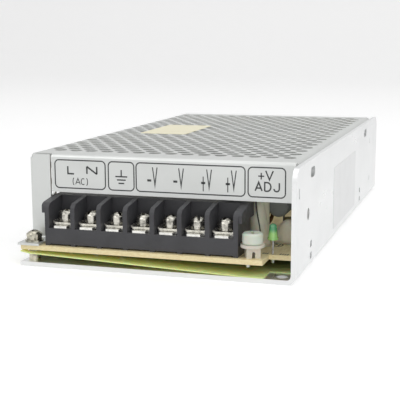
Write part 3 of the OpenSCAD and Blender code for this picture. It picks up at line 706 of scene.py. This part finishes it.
class SUPPLY_OT_dress_board(bpy.types.Operator):
    """Finish the circuit board, the film below it, the foot screw and the standoffs"""

    bl_idname = "supply.dress_board"
    bl_label = "Dress Board"

    def execute(self, context):
        paint(phenolic(), "circuit_board")
        paint(clear_film(), "insulating_film")
        paint(bright_nickel("solder", display(196, 196, 196), 0.25), "solder_joints", "led_leads")
        paint(bright_nickel("standoff plating", display(206, 200, 182), 0.28), "board_standoffs")
        paint(
            bright_nickel("foot hardware", display(200, 196, 180), painted_reflection_share=0.3),
            "foot_screw",
            "foot_spring_washer",
            "foot_flat_washer",
        )
        self.print_legend()
        return {"FINISHED"}

    def print_legend(self):
        """Dark component legend on the board beside the indicator and behind it."""
        layer = Print(0.45 * MM)
        layer.stroke(in_metres(arc(*OUTLINE, 0, 350, 20)), closed=True)
        edge = [((x, EDGE_FRONT), (x + EDGE_LEAN, EDGE_BACK)) for x in EDGE_STROKES]
        for ends in (*OUTLINE_MARKS, *edge):
            layer.stroke(in_metres(ends))
        place = layer.place(CORNER + UP * BOARD_TOP, RIGHT, BACK, UP)
        legend = Finish("legend ink", display(30, 28, 24), roughness=0.6)
        legend.tint(legend.noise(0.5 * MM), display(62, 56, 44), 0.45, 0.75)
        add_piece("board_legend", place, layer.faces, legend)


class SUPPLY_OT_dress_output(bpy.types.Operator):
    """Finish the trimmer and the indicator beside the terminals"""

    bl_idname = "supply.dress_output"
    bl_label = "Dress Trimmer and Indicator"

    def execute(self, context):
        cream = moulded("cream nylon", display(218, 212, 198), 0.45, fade=0.86)
        cream.set("Subsurface Weight", 0.15)
        cream.set("Subsurface Scale", 1 * MM)
        paint(cream, "trimmer_base")
        pale = moulded("pale nylon", display(219, 227, 212), 0.36, fade=0.93)
        pale.set("Subsurface Weight", 0.3)
        pale.set("Subsurface Scale", 1.2 * MM)
        paint(pale, "trimmer_knob")
        lens = moulded("green epoxy", display(172, 226, 136), 0.2, depth=0.03 * MM)
        # Painted shade: the lens turns darker and bluer towards its top.
        lens.tint(lens.along("Z", 13.8 * MM, 16 * MM), display(92, 172, 118), 0.2, 0.8)
        lens.set("Subsurface Weight", 0.4)
        lens.set("Subsurface Scale", 1 * MM)
        lens.set("Coat Weight", 0.6)
        paint(lens, "led_lens")
        return {"FINISHED"}


class SUPPLY_OT_dress_inside(bpy.types.Operator):
    """Finish the components seen through the perforations and the front opening"""

    bl_idname = "supply.dress_inside"
    bl_label = "Dress Components"

    def execute(self, context):
        epoxy = moulded("black epoxy", display(42, 42, 44), 0.5)
        paint(epoxy, "bridge_rectifier", "switching_transistor", "output_rectifier", "control_chips")
        ferrite = moulded("ferrite", display(70, 70, 74), 0.55, grain=0.3 * MM, depth=0.03 * MM)
        paint(ferrite, "choke_core", "transformer_core")
        paint(can_sleeve(), "bulk_capacitor_1", "bulk_capacitor_2", "output_capacitor_2")
        paint(moulded("grey sleeve", display(138, 142, 140), 0.4, fade=0.6), "output_capacitor_1")
        copper = enamelled_copper("copper wire", display(112, 84, 58))
        paint(copper, "choke_windings", "output_choke_winding")
        core = moulded("yellow core", display(150, 140, 92), 0.4, grain=0.4 * MM, depth=0.02 * MM)
        paint(core, "output_choke_core")
        paint(tape_wrap(), "transformer_winding")
        paint(moulded("film capacitor box", display(200, 182, 70), 0.35), "x_capacitor")
        blue = moulded("blue dip", display(54, 108, 170), 0.3, grain=0.8 * MM, depth=0.05 * MM)
        paint(blue, "y_capacitors")
        dark = moulded("dark dip", display(58, 74, 62), 0.35, grain=0.8 * MM, depth=0.05 * MM)
        paint(dark, "thermistor")
        paint(bright_nickel("fuse clips", display(206, 206, 204), 0.25), "input_fuse")
        paint(rolled_sheet("spreader bar", display(214, 214, 216), 0.4, 0.01 * MM), "heat_spreader")
        paint(moulded("cream sleeve", display(240, 238, 214), 0.5, fade=0.85), "sleeved_choke")
        silicone = moulded(
            "white silicone", display(246, 243, 222), 0.35, grain=1.6 * MM, depth=0.25 * MM
        )
        silicone.set("Subsurface Weight", 0.3)
        silicone.set("Subsurface Scale", 1.5 * MM)
        self.pour_glue(silicone)
        sleeve = moulded("dark wire sleeve", display(84, 78, 62), 0.4)
        vertices, faces = tube([from_corner(*point) for point in LEAD], LEAD_RADIUS)
        add_piece("sleeved_lead", vertices, faces, sleeve, smooth=True)
        return {"FINISHED"}

    def pour_glue(self, silicone):
        """A lumpy peak of glue round the sleeved part, and a lower bead against the rod choke."""
        draw = random.Random(GLUE_SEED)
        around, lobes = 28, 7
        vertices, faces = [], []
        for sections in (GLUE_PEAK, GLUE_BEAD):
            faces += skin(len(vertices), len(sections), around)
            for z, x, y, across, deep in sections:
                lumps = [draw.uniform(0.86, 1.12) for _ in range(lobes)]
                for j in range(around):
                    a = 2 * math.pi * j / around
                    lobe, share = divmod(lobes * j / around, 1)
                    low, high = lumps[int(lobe)], lumps[(int(lobe) + 1) % lobes]
                    r = low + (high - low) * (0.5 - 0.5 * math.cos(math.pi * share))
                    here = (x + across * r * math.cos(a), y + deep * r * math.sin(a), z)
                    vertices.append(from_corner(*here))
        glue = add_piece("adhesive_peak", vertices, faces, silicone, smooth=True)
        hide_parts("adhesive")


class SUPPLY_OT_stick_labels(bpy.types.Operator):
    """Finish the two blank labels"""

    bl_idname = "supply.stick_labels"
    bl_label = "Stick Labels"

    def execute(self, context):
        paint(label_paper("yellow label", display(250, 242, 200), 0.05 * MM), "top_sticker")
        paint(label_paper("pale label", display(236, 237, 237), 0), "side_sticker")
        return {"FINISHED"}


class SUPPLY_OT_set_stage(bpy.types.Operator):
    """Set up the pale floor, the soft lamps and the camera"""

    bl_idname = "supply.set_stage"
    bl_label = "Set Stage"

    def execute(self, context):
        stage = context.scene.supply_stage
        self.sweep(tuple(stage.floor_colour))
        self.sky(stage.ambient)
        for place, size, share in LAMPS:
            self.lamp(place, size, stage.lamp_power * share)
        self.camera(context, stage)
        context.scene.view_settings.view_transform = "Standard"
        return {"FINISHED"}

    def sweep(self, colour):
        """A floor that curves up into a backdrop behind the part."""
        run, rise, bend, half = 1.2, 1.6, 0.5, 2.2
        profile = [(-2.5, 0)] + [
            (run + bend * math.sin(a), bend - bend * math.cos(a))
            for a in (math.radians(6 * i) for i in range(16))
        ] + [(run + bend, rise)]
        drop = 0.05 * MM
        vertices = [(x, y, z - drop) for y, z in profile for x in (-half, half)]
        faces = [(2 * i, 2 * i + 1, 2 * i + 3, 2 * i + 2) for i in range(len(profile) - 1)]
        mesh = bpy.data.meshes.new("sweep")
        mesh.from_pydata(vertices, [], faces)
        mesh.polygons.foreach_set("use_smooth", [True] * len(faces))
        floor = bpy.data.objects.new("sweep", mesh)
        bpy.context.scene.collection.objects.link(floor)
        card = Finish("sweep card", colour, roughness=0.9)
        mesh.materials.append(card.material)
        self.show_white(card)

    def show_white(self, card):
        """The floor keeps its shadows, and glows a little where the camera or a mirror sees it."""
        path = card.nodes.new("ShaderNodeLightPath")
        seen = self.seen_directly(card.nodes, card.links, path)
        glow = card.nodes.new("ShaderNodeEmission")
        glow.inputs["Color"].default_value = (1, 1, 1, 1)
        scale = card.nodes.new("ShaderNodeMath")
        scale.operation = "MULTIPLY"
        scale.inputs[1].default_value = FLOOR_GLOW
        card.links.new(seen, scale.inputs[0])
        card.links.new(scale.outputs[0], glow.inputs["Strength"])
        both = card.nodes.new("ShaderNodeAddShader")
        card.links.new(card.shader.outputs[0], both.inputs[0])
        card.links.new(glow.outputs[0], both.inputs[1])
        card.links.new(both.outputs[0], card.nodes["Material Output"].inputs["Surface"])

    def seen_directly(self, nodes, links, path):
        """1 for rays from the camera and for those that metal or glass sends on."""
        total = path.outputs["Is Camera Ray"]
        for name in ("Is Glossy Ray", "Is Transmission Ray"):
            add = nodes.new("ShaderNodeMath")
            add.operation = "MAXIMUM"
            links.new(total, add.inputs[0])
            links.new(path.outputs[name], add.inputs[1])
            total = add.outputs[0]
        return total

    def sky(self, ambient):
        world = bpy.data.worlds.new("studio")
        bpy.context.scene.world = world
        world.use_nodes = True
        nodes, links = world.node_tree.nodes, world.node_tree.links
        seen = self.seen_directly(nodes, links, nodes.new("ShaderNodeLightPath"))
        level = nodes.new("ShaderNodeMapRange")
        level.inputs["To Min"].default_value = ambient
        level.inputs["To Max"].default_value = 1
        links.new(seen, level.inputs["Value"])
        nodes["Background"].inputs["Color"].default_value = (1, 1, 1, 1)
        links.new(level.outputs["Result"], nodes["Background"].inputs["Strength"])

    def lamp(self, place, size, power):
        light = bpy.data.lights.new("softbox", "AREA")
        light.shape = "SQUARE"
        light.size = size
        light.energy = power
        lamp = bpy.data.objects.new("softbox", light)
        lamp.location = place
        lamp.rotation_euler = (LAMP_TARGET - lamp.location).to_track_quat("-Z", "Y").to_euler()
        bpy.context.scene.collection.objects.link(lamp)

    def camera(self, context, stage):
        data = bpy.data.cameras.new("camera")
        data.lens = stage.lens
        data.sensor_width = SENSOR_WIDTH
        data.clip_start = 0.02
        camera = bpy.data.objects.new("camera", data)
        left, down, roll = stage.camera_turn
        tilt = Matrix.Rotation(math.pi / 2 - down, 4, "X")
        turn = Matrix.Rotation(left, 4, "Z") @ tilt @ Matrix.Rotation(roll, 4, "Z")
        camera.matrix_world = Matrix.Translation(stage.camera_place) @ turn
        context.scene.collection.objects.link(camera)
        context.scene.camera = camera


STEPS = (
    SUPPLY_OT_dress_case,
    SUPPLY_OT_print_marks,
    SUPPLY_OT_dress_terminals,
    SUPPLY_OT_dress_board,
    SUPPLY_OT_dress_output,
    SUPPLY_OT_dress_inside,
    SUPPLY_OT_stick_labels,
    SUPPLY_OT_set_stage,
)


class SUPPLY_PT_panel(bpy.types.Panel):
    """The settings and the steps, in order"""

    bl_idname = "SUPPLY_PT_panel"
    bl_label = "Mesh Case Supply"
    bl_space_type = "VIEW_3D"
    bl_region_type = "UI"
    bl_category = "Supply"

    def draw(self, context):
        for group in SETTINGS:
            box = self.layout.box()
            box.label(text=group.__doc__)
            settings = getattr(context.scene, SETTINGS[group])
            for name in group.__annotations__:
                box.prop(settings, name)
        for step in STEPS:
            self.layout.operator(step.bl_idname)


SETTINGS = {
    SheetSettings: "supply_sheet",
    MarkSettings: "supply_marks",
    StageSettings: "supply_stage",
}


def register():
    for cls in (*SETTINGS, *STEPS, SUPPLY_PT_panel):
        bpy.utils.register_class(cls)
    for group, name in SETTINGS.items():
        setattr(bpy.types.Scene, name, bpy.props.PointerProperty(type=group))


def unregister():
    for name in SETTINGS.values():
        delattr(bpy.types.Scene, name)
    for cls in reversed((*SETTINGS, *STEPS, SUPPLY_PT_panel)):
        bpy.utils.unregister_class(cls)


def main():
    register()
    for step in STEPS:
        group, name = step.bl_idname.split(".")
        getattr(getattr(bpy.ops, group), name)()


if __name__ == "__main__":
    main()
